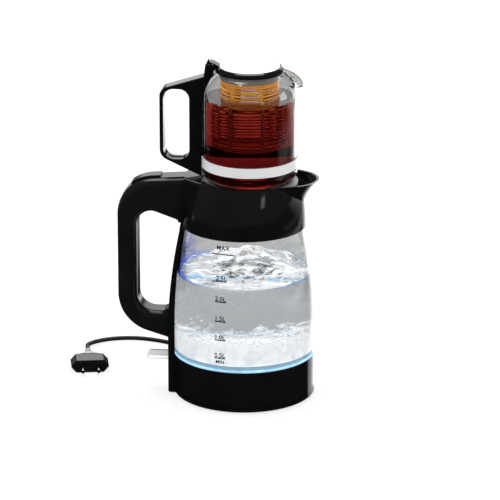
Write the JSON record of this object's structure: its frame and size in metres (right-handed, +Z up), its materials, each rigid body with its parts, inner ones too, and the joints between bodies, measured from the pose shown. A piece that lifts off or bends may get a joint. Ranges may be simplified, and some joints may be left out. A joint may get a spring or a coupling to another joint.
{
  "type": "automatic tea maker",
  "caption": "Cordless glass water kettle with a lit base, carrying a glass teapot with an infuser and a hinged lid on its mouth.",
  "frame": {"origin": "centre of the power base's underside, on the table", "axes": "+Z up, +X towards both spouts, -X towards both handles, +Y towards the mains lead"},
  "size_m": [0.3073, 0.2606, 0.4056],
  "materials": {
    "black_gloss": "high-gloss black moulded plastic",
    "black_satin": "black plastic with a fine spark-eroded texture",
    "cover_plastic": "black plastic, moulded underside",
    "foot_rubber": "matt grey-black rubber",
    "screw_steel": "zinc-plated steel",
    "connector_plastic": "heat-resistant black plastic",
    "contact_brass": "plated brass",
    "gland_rubber": "black strain-relief rubber",
    "cord_black": "black cable sheath",
    "plug_black": "gloss black moulded plug",
    "relief_grey": "light grey flexible sleeve",
    "prong_nickel": "nickel-plated brass",
    "plate_steel": "brushed stainless steel",
    "spreader_aluminium": "plain aluminium",
    "element_steel": "heat-tinted steel sheath",
    "board_green": "solder-masked circuit board",
    "light_blue": "frosted light ring, lit pale blue",
    "seal_silicone": "translucent silicone",
    "clear_glass": "clear borosilicate glass",
    "lever_clear": "clear moulded plastic",
    "seat_grey": "satin light grey plastic",
    "handle_satin": "black plastic with a soft gloss",
    "band_steel": "brushed stainless band",
    "infuser_steel": "perforated stainless steel",
    "pin_steel": "plain steel pin",
    "lid_white": "polished pale disc"
  },
  "bodies": {
    "power_base": {"power_base_shell": "black_gloss", "power_base_cover": "cover_plastic", "base_feet": "foot_rubber", "base_screws": "screw_steel", "base_connector": "connector_plastic", "base_contacts": "contact_brass", "cord_gland": "gland_rubber", "power_cord_lead": "cord_black", "cord_coil": "cord_black", "power_cord_tail": "cord_black", "plug_body": "plug_black", "plug_relief": "relief_grey", "plug_prongs": "prong_nickel"},
    "kettle": {"kettle_housing": "black_gloss", "kettle_bottom_plate": "cover_plastic", "bottom_screws": "screw_steel", "kettle_socket": "connector_plastic", "socket_contacts": "contact_brass", "thermostat": "connector_plastic", "switch_pin": "pin_steel", "heating_element": "element_steel", "heat_spreader": "spreader_aluminium", "heater_plate": "plate_steel", "led_board": "board_green", "light_ring": "light_blue", "glass_seal": "seal_silicone", "kettle_glass": "clear_glass", "collar_seal": "seal_silicone", "collar": "black_gloss", "seat_ring": "seat_grey", "handle_spine": "black_gloss", "handle_back_shell": "handle_satin", "handle_front_shell": "handle_satin", "handle_top_cover": "black_satin", "handle_screws": "screw_steel"},
    "switch_lever": {"switch_lever": "lever_clear"},
    "switch_plunger": {"switch_plunger": "connector_plastic"},
    "teapot": {"teapot_glass": "clear_glass", "teapot_band": "band_steel", "teapot_handle": "black_gloss", "teapot_screw": "screw_steel", "hinge_pin": "pin_steel", "infuser_rim": "infuser_steel", "infuser_basket": "infuser_steel"},
    "teapot_lid": {"lid_ring": "black_satin", "lid_disc": "lid_white"}
  },
  "joints": [
    {"name": "kettle_lift", "type": "slide", "parent": "power_base", "child": "kettle", "axis": [0, 0, 1], "range_m": [0, 0.12]},
    {"name": "switch_rock", "type": "hinge", "parent": "kettle", "child": "switch_lever", "pos_m": [-0.07, 0, 0.04], "axis": [0, 1, 0], "range_deg": [0, 8]},
    {"name": "plunger_drop", "type": "slide", "parent": "kettle", "child": "switch_plunger", "axis": [0, 0, -1], "range_m": [0, 0.0023]},
    {"name": "teapot_lift", "type": "slide", "parent": "kettle", "child": "teapot", "axis": [0, 0, 1], "range_m": [0, 0.15]},
    {"name": "lid_hinge", "type": "hinge", "parent": "teapot", "child": "teapot_lid", "pos_m": [-0.0378, 0, 0.3986], "axis": [0, -1, 0], "range_deg": [0, 95]}
  ],
  "couplings": [
    {"joint": "plunger_drop", "follows": "switch_rock", "m_per_rad": 0.016}
  ]
}
